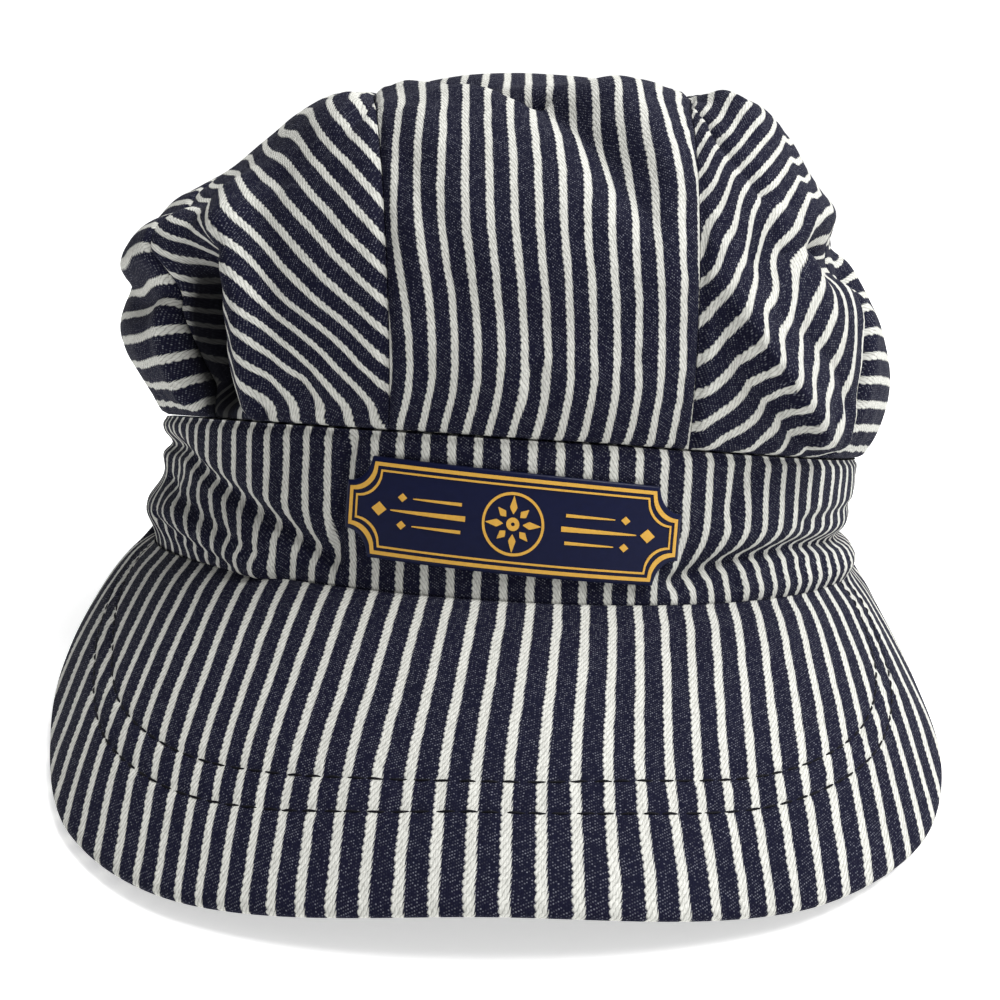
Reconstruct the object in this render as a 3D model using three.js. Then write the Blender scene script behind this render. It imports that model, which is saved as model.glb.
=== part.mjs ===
// An engineer cap of striped denim, resting on a table, in millimetres.
// The front of the cap faces -Y and +Z is up. Left and right are as seen from the front.
// The peak's two side edges and the back of the band touch the table, which lifts the front.

import * as THREE from 'three';

const gap = 0.3; // between pieces that are sewn to each other
const seamInset = 0.27; // how far each of two sewn edges is drawn back from their seam
const bandInset = 0.4; // the same for the crown's lower edge, over the top of the band

// The band: an oval wall of folded cloth, low at the back, where it rests.
const rim = {
  centreX: 0.75, halfWidth: 78.75, halfDepth: 86,
  frontLift: 30, restsFrom: 74, blend: 0.15, roll: 0.048,
};
const band = {
  height: 28.5, thickness: 2.4, lean: 5,
  narrowsLeft: 2, narrowsRight: -1.5, squashLeft: 0, squashRight: 3,
};

// The crown: a strip from front to back over the top, between two full sides.
const crown = { thickness: 1.6, ringLength: 270, wallHeight: 95, arch: 3.5, archFrom: 0.35 };
const strip = { width: 60, splitAt: 1.45, frontRows: 18, backRows: 18, columns: 6 };
const sidePiece = { seamLow: 0.2, seamRise: 0.25, columns: 14, rows: 12 };

// Each row is one upright section of a side, at a share of the way from front to back: where
// it leaves the band, where it meets the strip's seam, and how far the cloth is pushed out
// and up at its two ends.
const leftSections = [
  { at: 0.0, bandAngle: -15, topX: -23, topY: -55, topZ: 112, outLow: 11, upLow: 24, outHigh: 14, upHigh: -4 },
  { at: 0.2, bandAngle: -45, topX: -25, topY: -36, topZ: 115, outLow: 16, upLow: 27, outHigh: 23, upHigh: -8 },
  { at: 0.4, bandAngle: -75, topX: -25, topY: -8, topZ: 116, outLow: 15, upLow: 36, outHigh: 46, upHigh: -22 },
  { at: 0.6, bandAngle: -105, topX: -25, topY: 20, topZ: 116, outLow: 20, upLow: 24, outHigh: 50, upHigh: -16 },
  { at: 0.8, bandAngle: -135, topX: -24, topY: 44, topZ: 112, outLow: 20, upLow: 18, outHigh: 38, upHigh: -12 },
  { at: 1.0, bandAngle: -163, topX: -22, topY: 64, topZ: 105, outLow: 14, upLow: 16, outHigh: 20, upHigh: -12 },
];
const rightSections = [
  { at: 0.0, bandAngle: 23.5, topX: 33, topY: -52, topZ: 112, outLow: 11, upLow: 24, outHigh: 16, upHigh: -4 },
  { at: 0.2, bandAngle: 50, topX: 35, topY: -36, topZ: 115, outLow: 18, upLow: 26, outHigh: 20, upHigh: -5 },
  { at: 0.4, bandAngle: 78, topX: 36, topY: -8, topZ: 116, outLow: 21, upLow: 22, outHigh: 22, upHigh: -9 },
  { at: 0.6, bandAngle: 105, topX: 37, topY: 20, topZ: 116, outLow: 29, upLow: 10, outHigh: 42, upHigh: -18 },
  { at: 0.8, bandAngle: 135, topX: 36, topY: 44, topZ: 112, outLow: 24, upLow: 12, outHigh: 34, upHigh: -14 },
  { at: 1.0, bandAngle: 160, topX: 35, topY: 64, topZ: 105, outLow: 14, upLow: 16, outHigh: 20, upHigh: -12 },
];

// Each row is one fold: the line of its crest or bottom, its height (below zero for a
// dent), and how wide it is on the two sides of that line.
// On a side the line's points are (station from front to back, share of the wall's height).
const leftFolds = [
  { line: [[0.175, 0.02], [0.18, 0.2], [0.185, 0.36]], height: -8, before: 7, after: 7 },
  { line: [[0.135, 0.05], [0.12, 0.2], [0.135, 0.38], [0.19, 0.55]], height: 2.4, before: 6, after: 6 },
  { line: [[0.25, 0.44], [0.33, 0.48]], height: 4, before: 12, after: 12 },
  { line: [[0.28, 0.16], [0.4, 0.2]], height: 3, before: 9, after: 9 },
  { line: [[0.62, 0.1], [0.66, 0.45]], height: -4, before: 9, after: 9 },
  { line: [[0.84, 0.08], [0.8, 0.5]], height: -3, before: 10, after: 10 },
];
const rightFolds = [
  { line: [[0, 0.4], [0.045, 0.26], [0.09, 0.17], [0.19, 0.04]], height: 3.2, before: 9, after: 3.5 },
  { line: [[0.17, 0.47], [0.32, 0.45]], height: -5, before: 6, after: 6 },
  { line: [[0.06, 0.44], [0.13, 0.55]], height: -1.6, before: 5, after: 5 },
  { line: [[0.6, 0.1], [0.64, 0.45]], height: -4, before: 9, after: 9 },
  { line: [[0.84, 0.08], [0.8, 0.5]], height: -3, before: 10, after: 10 },
];
// On the strip the points are (share of the width, length along it), where the length is
// 1 at the front edge of the top and 2 at its back edge.
const stripFolds = [
  { line: [[0.45, 0.95], [0.8, 0.62]], height: -1.6, before: 6, after: 9 },
  { line: [[0.1, 0.45], [0.9, 0.5]], height: 2.0, before: 14, after: 14 },
  { line: [[0.3, 1.12], [0.9, 1.2]], height: -2.0, before: 8, after: 8 },
  { line: [[0.2, 2.5], [0.85, 2.42]], height: -3.0, before: 12, after: 12 },
];
// On the band the points are (degrees round from the front, share of the height).
const bandFolds = [
  { line: [[-62, 0.72], [-40, 0.3]], height: -1.2, before: 5, after: 4 },
  { line: [[-95, 0.55], [-60, 0.5]], height: -1.4, before: 5, after: 5 },
  { line: [[25, 0.28], [70, 0.4], [100, 0.45]], height: -1.4, before: 4, after: 5 },
];
const bandFold = { perDegree: 1.45, angleStep: 5, outerRows: 5, innerRows: 2 };

// The peak: a stiff curved sheet, sewn to the band's lower edge.
const peak = {
  thickness: 3.2, leftEnd: -86, rightEnd: 77, rootRise: 0.3, bulge: 2.5,
  columns: 44, rows: 7,
};
const peakEdge = [
  { at: -1, x: -81.8, y: -6, z: 19 },
  { at: -0.88, x: -85.4, y: -29, z: 13 },
  { at: -0.75, x: -87, y: -50, z: 5.2 },
  { at: -0.6, x: -81.2, y: -78, z: 1.6 },
  { at: -0.45, x: -66.6, y: -111.5, z: 1.4 },
  { at: -0.28, x: -42.5, y: -132, z: 3 },
  { at: 0, x: 0, y: -140, z: 7.4 },
  { at: 0.28, x: 41, y: -132.5, z: 3.4 },
  { at: 0.45, x: 64.8, y: -113.5, z: 1.4 },
  { at: 0.6, x: 77.6, y: -88, z: 1.6 },
  { at: 0.75, x: 82, y: -58, z: 4.6 },
  { at: 0.88, x: 82, y: -34, z: 9.5 },
  { at: 1, x: 81.5, y: -16, z: 14.5 },
];

// The badge: a thin printed plate with scooped corners, curved round the band's front.
const badge = {
  width: 60, height: 17, scoop: 4.5, thickness: 0.9, clearance: 0.15,
  tilt: 2.5, angle: 1, level: 0.53, columns: 20, rows: 4,
};

// From the drawing's own centre to the middle of the cap's outline.
const toMiddle = { x: -1.3, y: 22.4, z: 0.15 };

const colours = { denim: 0x1d1f35, badge: 0x18204a };

const up = new THREE.Vector3(0, 0, 1);
const tiny = 1e-3;

function smooth(share) {
  const t = THREE.MathUtils.clamp(share, 0, 1);
  return t * t * (3 - 2 * t);
}

// The value of one column between the rows of a table, on a smooth curve through them.
function valueAt(rows, column, place) {
  const last = rows.length - 1;
  const x = THREE.MathUtils.clamp(place, rows[0].at, rows[last].at);
  let i = 0;
  while (i < last - 1 && x >= rows[i + 1].at) i += 1;
  const slope = (k) => {
    const a = rows[Math.max(k - 1, 0)];
    const b = rows[Math.min(k + 1, last)];
    return (b[column] - a[column]) / (b.at - a.at);
  };
  const span = rows[i + 1].at - rows[i].at;
  const t = (x - rows[i].at) / span;
  return (2 * t ** 3 - 3 * t ** 2 + 1) * rows[i][column]
    + (t ** 3 - 2 * t ** 2 + t) * span * slope(i)
    + (3 * t ** 2 - 2 * t ** 3) * rows[i + 1][column]
    + (t ** 3 - t ** 2) * span * slope(i + 1);
}

// The height that a table of folds adds at a point, both given in millimetres of cloth.
function foldHeight(folds, toCloth, point) {
  const p = toCloth(point);
  let height = 0;
  for (const fold of folds) {
    let nearest = Infinity;
    let side = 0;
    for (let i = 0; i + 1 < fold.line.length; i += 1) {
      const a = toCloth(fold.line[i]);
      const b = toCloth(fold.line[i + 1]);
      const run = b.clone().sub(a);
      const offset = p.clone().sub(a);
      const share = THREE.MathUtils.clamp(offset.dot(run) / run.lengthSq(), 0, 1);
      const distance = offset.clone().addScaledVector(run, -share).length();
      if (distance < nearest) {
        nearest = distance;
        side = run.cross(offset) / Math.max(run.length() * distance, tiny);
      }
    }
    const width = THREE.MathUtils.lerp(fold.after, fold.before, (1 + side) / 2);
    height += fold.height * Math.exp(-((nearest / width) ** 2));
  }
  return height;
}

// The direction square to a surface, from two small steps on it.
function normalOf(surface, a, b, aMax, bMax) {
  const a0 = Math.max(a - tiny, 0);
  const a1 = Math.min(a + tiny, aMax);
  const b0 = Math.max(b - tiny, 0);
  const b1 = Math.min(b + tiny, bMax);
  const alongA = surface(a1, b).sub(surface(a0, b));
  const alongB = surface(a, b1).sub(surface(a, b0));
  return alongA.cross(alongB).normalize();
}

// The band's lower edge, flat on the table at the back.
function rimPoint(degrees) {
  const angle = THREE.MathUtils.degToRad(degrees);
  const x = rim.halfWidth * Math.sin(angle);
  const y = -rim.halfDepth * Math.cos(angle);
  const share = Math.max((rim.restsFrom - y) / (rim.restsFrom + rim.halfDepth), 0);
  const eased = share < rim.blend ? share ** 2 / (2 * rim.blend) : share - rim.blend / 2;
  const lift = rim.frontLift * eased / (1 - rim.blend / 2);
  const roll = rim.roll * x * (1 + Math.cos(angle)) / 2;
  return new THREE.Vector3(rim.centreX + x, y, lift - roll);
}

function bandTopPoint(degrees) {
  const sine = Math.sin(THREE.MathUtils.degToRad(degrees));
  const squash = (sine > 0 ? band.squashRight : band.squashLeft) * sine ** 2;
  const narrows = sine > 0 ? band.narrowsRight : band.narrowsLeft;
  const p = rimPoint(degrees);
  return p.add(new THREE.Vector3(-narrows * sine, band.lean, band.height - squash));
}

function bandOutward(degrees) {
  const angle = THREE.MathUtils.degToRad(degrees);
  const slope = new THREE.Vector3(Math.sin(angle) / rim.halfWidth, -Math.cos(angle) / rim.halfDepth, 0);
  return slope.normalize();
}

// A point of the band's cloth: level runs from 0 at the rim to 1 at the crown seam.
function bandPoint(degrees, level, offset) {
  const p = rimPoint(degrees).lerp(bandTopPoint(degrees), level);
  const toCloth = ([turn, share]) => new THREE.Vector2(turn * bandFold.perDegree, share * band.height);
  const hold = smooth(level / 0.2) * smooth((1 - level) / 0.15);
  const fold = foldHeight(bandFolds, toCloth, [degrees, level]) * hold;
  return p.addScaledVector(bandOutward(degrees), offset + fold);
}

// A side's plain surface, before its folds: a smooth bulge from the band to the strip's seam.
function plainSide(sections, station, share) {
  const value = (column) => valueAt(sections, column, station);
  const low = bandTopPoint(value('bandAngle'));
  const high = new THREE.Vector3(value('topX'), value('topY'), value('topZ'));
  const out = low.clone().sub(high).setZ(0).normalize();
  const lowPull = low.clone().addScaledVector(out, value('outLow')).addScaledVector(up, value('upLow'));
  const highPull = high.clone().addScaledVector(out, value('outHigh')).addScaledVector(up, value('upHigh'));
  return new THREE.CubicBezierCurve3(low, lowPull, highPull, high).getPoint(share);
}

// How far the strip's path has run, from 0 at the front of the band to 3 at its back.
function stripPlace(along) {
  const station = THREE.MathUtils.clamp(along - 1, 0, 1);
  const share = Math.min(along, 1, 3 - along);
  return [station, share];
}

function plainStrip(across, along) {
  const [station, share] = stripPlace(along);
  const left = plainSide(leftSections, station, share);
  const right = plainSide(rightSections, station, share);
  return left.lerp(right, across);
}

// The strip follows the band's oval where it is sewn to it, and arches a little above that.
function stripPoint(across, along) {
  const p = plainStrip(across, along);
  const [station] = stripPlace(along);
  const atBand = station < 0.5 ? 0 : 1;
  const toBand = Math.min(along, 3 - along);
  const turn = THREE.MathUtils.lerp(
    valueAt(leftSections, 'bandAngle', atBand) + (atBand ? 360 : 0),
    valueAt(rightSections, 'bandAngle', atBand),
    across,
  );
  const bandBow = bandTopPoint(turn).sub(plainStrip(across, atBand * 3));
  const before = plainStrip(0.5, Math.max(along - tiny, 0));
  const after = plainStrip(0.5, Math.min(along + tiny, 3));
  const run = after.sub(before);
  const outward = new THREE.Vector3(0, -run.z, run.y).normalize();
  const toCloth = ([share, length]) => new THREE.Vector2(share * strip.width, length * crown.wallHeight);
  const edge = smooth(across / 0.12) * smooth((1 - across) / 0.12) * smooth(toBand / 0.1);
  const fold = foldHeight(stripFolds, toCloth, [across, along]) * edge;
  const arch = crown.arch * 4 * across * (1 - across) + fold;
  const free = smooth(toBand / crown.archFrom);
  return p.addScaledVector(bandBow, 1 - free).addScaledVector(outward, arch * free);
}

// A side with its folds, which die out at the seams.
function sidePoint(sections, folds, mirror, station, share) {
  const plain = (a, b) => plainSide(sections, a, b);
  const outward = normalOf(plain, station, share, 1, 1).multiplyScalar(mirror);
  const toCloth = ([turn, level]) => new THREE.Vector2(turn * crown.ringLength, level * crown.wallHeight);
  const heldAtEnds = smooth(station / 0.045) * smooth((1 - station) / 0.05);
  const held = heldAtEnds * smooth(share / 0.07) * smooth((1 - share) / 0.1);
  if (held === 0) return plain(station, share);
  return plain(station, share).addScaledVector(outward, held * foldHeight(folds, toCloth, [station, share]));
}

function steps(from, to, count) {
  return Array.from({ length: count + 1 }, (_, i) => THREE.MathUtils.lerp(from, to, i / count));
}

function meshOf(name, corners, triangles, colour, roughness) {
  const geometry = new THREE.BufferGeometry();
  const numbers = corners.flatMap((p) => p.toArray());
  geometry.setAttribute('position', new THREE.Float32BufferAttribute(numbers, 3));
  geometry.setIndex(triangles);
  geometry.computeVertexNormals();
  const material = new THREE.MeshStandardMaterial({ color: colour, roughness, metalness: 0 });
  const mesh = new THREE.Mesh(geometry, material);
  mesh.name = name;
  return mesh;
}

// A wall of even thickness over a grid of middle points with the directions square to it.
// Its borders are drawn in from their seams: insets holds the first and last line's, then the
// first and last column's. Flip turns its faces where the grid is mirrored.
function wallMesh(name, middle, normals, thickness, flip, insets, colour, roughness) {
  const rows = middle.length;
  const columns = middle[0].length;
  const [firstLine, lastLine, firstColumn, lastColumn] = insets;
  const inset = middle.map((line, i) => line.map((p, j) => {
    const lineInset = (i === 0 && firstLine) || (i === rows - 1 && lastLine) || 0;
    const columnInset = (j === 0 && firstColumn) || (j === columns - 1 && lastColumn) || 0;
    const towards = middle[THREE.MathUtils.clamp(i, 1, rows - 2)][THREE.MathUtils.clamp(j, 1, columns - 2)];
    const step = towards.clone().sub(p).setLength(Math.hypot(lineInset, columnInset));
    return p.clone().add(step);
  }));
  const corners = [];
  for (const half of [thickness / 2, -thickness / 2]) {
    inset.forEach((line, i) => line.forEach((p, j) => {
      corners.push(p.clone().addScaledVector(normals[i][j], half));
    }));
  }
  const outer = (i, j) => i * columns + j;
  const inner = (i, j) => rows * columns + i * columns + j;
  const triangles = [];
  const quad = (a, b, c, d) => triangles.push(...(flip ? [a, c, b, a, d, c] : [a, b, c, a, c, d]));
  for (let i = 0; i + 1 < rows; i += 1) {
    for (let j = 0; j + 1 < columns; j += 1) {
      quad(outer(i, j), outer(i + 1, j), outer(i + 1, j + 1), outer(i, j + 1));
      quad(inner(i, j), inner(i, j + 1), inner(i + 1, j + 1), inner(i + 1, j));
    }
  }
  for (let i = 0; i + 1 < rows; i += 1) {
    quad(inner(i, 0), inner(i + 1, 0), outer(i + 1, 0), outer(i, 0));
    const j = columns - 1;
    quad(outer(i, j), outer(i + 1, j), inner(i + 1, j), inner(i, j));
  }
  for (let j = 0; j + 1 < columns; j += 1) {
    quad(outer(0, j), outer(0, j + 1), inner(0, j + 1), inner(0, j));
    const i = rows - 1;
    quad(inner(i, j), inner(i, j + 1), outer(i, j + 1), outer(i, j));
  }
  return meshOf(name, corners, triangles, colour, roughness);
}

const stripNormal = (across, along) => normalOf(stripPoint, across, along, 1, 3);

function stripPiece(name, from, to, rows) {
  const acrossSteps = steps(0, 1, strip.columns);
  const alongSteps = steps(from, to, rows);
  const middle = acrossSteps.map((across) => alongSteps.map((along) => stripPoint(across, along)));
  const normals = acrossSteps.map((across) => alongSteps.map((along) => {
    if (along > 0 && along < 3) return stripNormal(across, along);
    const p = stripPoint(across, along);
    const turn = Math.atan2((p.x - rim.centreX) / rim.halfWidth, -(p.y - band.lean) / rim.halfDepth);
    return bandOutward(THREE.MathUtils.radToDeg(turn));
  }));
  const insets = [seamInset, seamInset, seamInset, seamInset];
  if (from === 0) insets[2] = bandInset;
  if (to === 3) insets[3] = bandInset;
  return wallMesh(name, middle, normals, crown.thickness, false, insets, colours.denim, 0.9);
}

// A side is cut in two by a seam that leans back as it rises.
function sideSeam(share) {
  return sidePiece.seamLow + sidePiece.seamRise * share ** 2;
}

function sidePieceMesh(name, sections, folds, mirror, isFront) {
  const seamAcross = mirror < 0 ? 0 : 1;
  const start = (share) => (isFront ? 0 : sideSeam(share));
  const end = (share) => (isFront ? sideSeam(share) : 1);
  const station = (a, share) => THREE.MathUtils.lerp(start(share), end(share), a);
  const surface = (a, share) => sidePoint(sections, folds, mirror, a, share);
  const normalAt = (a, share) => {
    if (share === 0) return bandOutward(valueAt(sections, 'bandAngle', a));
    if (a === 0) return stripNormal(seamAcross, share);
    if (a === 1) return stripNormal(seamAcross, 3 - share);
    if (share === 1) return stripNormal(seamAcross, 1 + a);
    return normalOf(surface, a, share, 1, 1).multiplyScalar(mirror);
  };
  const aSteps = steps(0, 1, sidePiece.columns);
  const shareSteps = steps(0, 1, sidePiece.rows);
  const middle = aSteps.map((a) => shareSteps.map((share) => surface(station(a, share), share)));
  const normals = aSteps.map((a) => shareSteps.map((share) => normalAt(station(a, share), share)));
  const insets = [seamInset, seamInset, bandInset, seamInset];
  return wallMesh(name, middle, normals, crown.thickness, mirror < 0, insets, colours.denim, 0.9);
}

function bandMesh() {
  const half = band.thickness / 2;
  const outerLevels = steps(0, 1, bandFold.outerRows);
  const innerLevels = steps(1, 0, bandFold.innerRows);
  const section = (degrees) => [
    ...outerLevels.map((level) => bandPoint(degrees, level, half)),
    ...innerLevels.map((level) => bandPoint(degrees, level, -half)),
  ];
  const count = 360 / bandFold.angleStep;
  const sections = Array.from({ length: count }, (_, i) => section((i + 0.5) * bandFold.angleStep - 180));
  const perSection = sections[0].length;
  const triangles = [];
  for (let i = 0; i < count; i += 1) {
    for (let j = 0; j < perSection; j += 1) {
      const next = ((i + 1) % count) * perSection;
      const here = i * perSection;
      const k = (j + 1) % perSection;
      triangles.push(here + j, next + j, next + k, here + j, next + k, here + k);
    }
  }
  return meshOf('band', sections.flat(), triangles, colours.denim, 0.9);
}

// The peak runs from the band's lower edge to its own free edge.
function peakPoint(across, out) {
  const station = 2 * across - 1;
  const turn = THREE.MathUtils.lerp(peak.leftEnd, peak.rightEnd, across);
  const root = rimPoint(turn).addScaledVector(bandOutward(turn), band.thickness / 2 + gap);
  root.z += peak.rootRise;
  const edge = new THREE.Vector3(
    valueAt(peakEdge, 'x', station),
    valueAt(peakEdge, 'y', station),
    valueAt(peakEdge, 'z', station),
  );
  const p = root.lerp(edge, out);
  p.z += peak.bulge * 4 * out * (1 - out) * (1 - station ** 2);
  return p;
}

function peakMesh() {
  const acrossSteps = steps(0, 1, peak.columns);
  const outSteps = steps(0, 1, peak.rows);
  const middle = acrossSteps.map((across) => outSteps.map((out) => peakPoint(across, out)));
  const normals = acrossSteps.map((across) => outSteps.map((out) => {
    const fromRoot = peakPoint(across, out).distanceTo(peakPoint(across, 0));
    const free = smooth(fromRoot / (2 * peak.thickness));
    return up.clone().lerp(normalOf(peakPoint, across, out, 1, 1).negate(), free).normalize();
  }));
  return wallMesh('peak', middle, normals, peak.thickness, true, [0, 0, 0, 0], colours.denim, 0.9);
}

// The badge's half height at a distance from its middle, with a round scoop at each corner.
function badgeHalfHeight(across) {
  const toEnd = Math.min(badge.width / 2 - Math.abs(across), badge.scoop);
  return badge.height / 2 - Math.sqrt(badge.scoop ** 2 - toEnd ** 2);
}

function badgeMesh() {
  const half = badge.width / 2;
  const bend = [...steps(-half, -half + badge.scoop, 4).slice(0, -1),
    ...steps(-half + badge.scoop, half - badge.scoop, badge.columns),
    ...steps(half - badge.scoop, half, 4).slice(1)];
  const tilt = THREE.MathUtils.degToRad(badge.tilt);
  const lift = band.thickness / 2 + gap + badge.clearance + badge.thickness / 2;
  const place = (x, y) => {
    const turned = x * Math.cos(tilt) + y * Math.sin(tilt);
    const raised = y * Math.cos(tilt) - x * Math.sin(tilt);
    const degrees = badge.angle + turned / bandFold.perDegree;
    const p = rimPoint(degrees).lerp(bandTopPoint(degrees), badge.level + raised / band.height);
    return p.addScaledVector(bandOutward(degrees), lift);
  };
  const shares = steps(-1, 1, badge.rows);
  const middle = bend.map((x) => shares.map((share) => place(x, share * badgeHalfHeight(x))));
  const normals = bend.map((x) => shares.map(() => bandOutward(badge.angle + x / bandFold.perDegree)));
  return wallMesh('badge', middle, normals, badge.thickness, false, [0, 0, 0, 0], colours.badge, 0.45);
}

const cap = new THREE.Group();
cap.add(
  stripPiece('crown_front_panel', 0, strip.splitAt, strip.frontRows),
  stripPiece('crown_back_panel', strip.splitAt, 3, strip.backRows),
  sidePieceMesh('crown_left_front_panel', leftSections, leftFolds, -1, true),
  sidePieceMesh('crown_left_back_panel', leftSections, leftFolds, -1, false),
  sidePieceMesh('crown_right_front_panel', rightSections, rightFolds, 1, true),
  sidePieceMesh('crown_right_back_panel', rightSections, rightFolds, 1, false),
  bandMesh(),
  peakMesh(),
  badgeMesh(),
);
cap.position.set(toMiddle.x, toMiddle.y, toMiddle.z);

export default cap;
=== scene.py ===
import math

import bpy
import numpy as np
from mathutils import Matrix, Vector


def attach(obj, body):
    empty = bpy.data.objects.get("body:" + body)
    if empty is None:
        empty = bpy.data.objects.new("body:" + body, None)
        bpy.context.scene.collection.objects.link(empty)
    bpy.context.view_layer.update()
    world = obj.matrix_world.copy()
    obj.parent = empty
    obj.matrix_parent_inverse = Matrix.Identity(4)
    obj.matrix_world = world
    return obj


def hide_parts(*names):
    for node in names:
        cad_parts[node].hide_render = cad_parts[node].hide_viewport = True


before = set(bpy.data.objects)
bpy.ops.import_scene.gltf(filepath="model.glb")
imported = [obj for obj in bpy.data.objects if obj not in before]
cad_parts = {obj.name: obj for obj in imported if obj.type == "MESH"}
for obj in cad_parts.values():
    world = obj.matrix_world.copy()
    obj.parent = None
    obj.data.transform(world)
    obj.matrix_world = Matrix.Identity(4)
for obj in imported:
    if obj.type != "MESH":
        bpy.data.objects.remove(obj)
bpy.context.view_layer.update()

print("frame loaded:", len(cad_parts), "nodes")

# Shapes are worked out in millimetres about the drawing's own centre, then moved to the
# middle of the cap's outline and scaled to metres.
mm = 0.001
toMiddle = np.array([-1.3, 22.4, 0.15])
up = np.array([0.0, 0.0, 1.0])
slopeStep = 1e-3  # the step over which a surface's slope is measured


# Tables, curves and noise


def smooth(share):
    t = np.clip(share, 0, 1)
    return t * t * (3 - 2 * t)


def unit(v):
    return v / np.maximum(np.linalg.norm(v, axis=-1, keepdims=True), 1e-12)


def curveThrough(places, values, at):
    # a smooth curve through values that stand at the given places; each value may be an array
    places = np.asarray(places, float)
    values = np.asarray(values, float)
    beyond = at - np.clip(at, places[0], places[-1])
    at = at - beyond
    i = np.clip(np.searchsorted(places, at, side="right") - 1, 0, len(places) - 2)
    low = np.maximum(np.arange(len(places)) - 1, 0)
    high = np.minimum(np.arange(len(places)) + 1, len(places) - 1)
    apart = (places[high] - places[low]).reshape((-1,) + (1,) * (values.ndim - 1))
    slope = (values[high] - values[low]) / apart

    def pick(array, index):
        return array[index] if array.ndim == 1 else np.take_along_axis(array, index[None], 0)[0]
    span = places[i + 1] - places[i]
    t = (at - places[i]) / span
    here = ((2 * t**3 - 3 * t**2 + 1) * pick(values, i)
            + (t**3 - 2 * t**2 + t) * span * pick(slope, i))
    ahead = ((3 * t**2 - 2 * t**3) * pick(values, i + 1)
             + (t**3 - t**2) * span * pick(slope, i + 1))
    return here + ahead + beyond * np.where(beyond < 0, slope[0], slope[-1])


def valueAt(table, column, at):
    return curveThrough(table["station"], table[column], at)


def surfaceThrough(table, across, rise):
    # a smooth surface through a table: its "across" row names the columns, and each further
    # row starts with its own height
    rows = [curveThrough(table["across"], row[1:], across) for row in table["rows"]]
    return curveThrough([row[0] for row in table["rows"]], np.stack(rows), rise)


def within(share, low, high):
    # 0 at both ends of a share, and 1 further in than these two distances
    return smooth(share / low) * smooth((1 - share) / high)


def fold(height, before, after, *line):
    # a fold's height, its width on each side of its line, and the line's points
    return {"height": height, "before": before, "after": after, "line": line}


def foldHeight(folds, scale, a, b):
    # the height that the folds add at each point (a, b); scale turns both into millimetres
    p = np.stack([a * scale[0], b * scale[1]], -1)
    height = np.zeros(p.shape[:-1])
    for each in folds:
        nearest = np.full(height.shape, np.inf)
        side = np.zeros(height.shape)
        line = [np.array(point) * scale for point in each["line"]]
        for start, end in zip(line, line[1:]):
            run = end - start
            offset = p - start
            share = np.clip(offset @ run / (run @ run), 0, 1)
            distance = np.linalg.norm(offset - share[..., None] * run, axis=-1)
            closer = distance < nearest
            nearest = np.where(closer, distance, nearest)
            turn = run[0] * offset[..., 1] - run[1] * offset[..., 0]
            turn = turn / np.maximum(np.linalg.norm(run) * distance, 1e-3)
            side = np.where(closer, turn, side)
        width = each["after"] + (each["before"] - each["after"]) * (1 + side) / 2
        height += each["height"] * np.exp(-((nearest / width) ** 2))
    return height


def softNoise(a, b, seed):
    # smooth noise from -1 to 1 with one bump about every unit
    def corner(i, j):
        value = np.sin(i * 127.1 + j * 311.7 + seed * 74.7) * 43758.5453
        return 2 * (value - np.floor(value)) - 1
    i, j = np.floor(a), np.floor(b)
    s, t = smooth(a - i), smooth(b - j)
    low = corner(i, j) * (1 - s) + corner(i + 1, j) * s
    high = corner(i, j + 1) * (1 - s) + corner(i + 1, j + 1) * s
    return low * (1 - t) + high * t


def ripples(rows, a, b):
    # soft waves; each row has how often they come along a and b, a seed and a height
    return sum(softNoise(a * row[0], b * row[1], row[2]) * row[3] for row in rows)


def tucks(kind, run, toSeam):
    # small uneven waves along a seam, which fade away from it
    drift = kind["drift"] * softNoise(run * kind["driftRate"], 0 * run + kind["row"], kind["seed"])
    return kind["height"] * np.sin(run * kind["rate"] + drift) * np.exp(-toSeam / kind["fade"])


# The band's lines, which everything else is sewn to

rim = {"centreX": 0.75, "halfWidth": 78.75, "halfDepth": 86, "frontLift": 30,
       "restsFrom": 74, "blend": 0.15, "roll": 0.048}
band = {"height": 28.5, "thickness": 2.4, "lean": 5, "narrowsLeft": 2, "narrowsRight": -1.5,
        "squashLeft": 0, "squashRight": 3, "perDegree": 1.45}


def rimPoint(degrees):
    angle = np.radians(degrees)
    x = rim["halfWidth"] * np.sin(angle)
    y = -rim["halfDepth"] * np.cos(angle)
    share = np.maximum((rim["restsFrom"] - y) / (rim["restsFrom"] + rim["halfDepth"]), 0)
    eased = np.where(share < rim["blend"], share**2 / (2 * rim["blend"]), share - rim["blend"] / 2)
    lift = rim["frontLift"] * eased / (1 - rim["blend"] / 2)
    roll = rim["roll"] * x * (1 + np.cos(angle)) / 2
    return np.stack([rim["centreX"] + x, y, lift - roll], -1)


def bandTopPoint(degrees):
    sine = np.sin(np.radians(degrees))
    squash = np.where(sine > 0, band["squashRight"], band["squashLeft"]) * sine**2
    narrows = np.where(sine > 0, band["narrowsRight"], band["narrowsLeft"])
    rise = np.stack([-narrows * sine, band["lean"] + 0 * sine, band["height"] - squash], -1)
    return rimPoint(degrees) + rise


def bandOutward(degrees):
    angle = np.radians(degrees)
    x, y = np.sin(angle) / rim["halfWidth"], -np.cos(angle) / rim["halfDepth"]
    return unit(np.stack([x, y, 0 * angle], -1))


# Meshes


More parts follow.
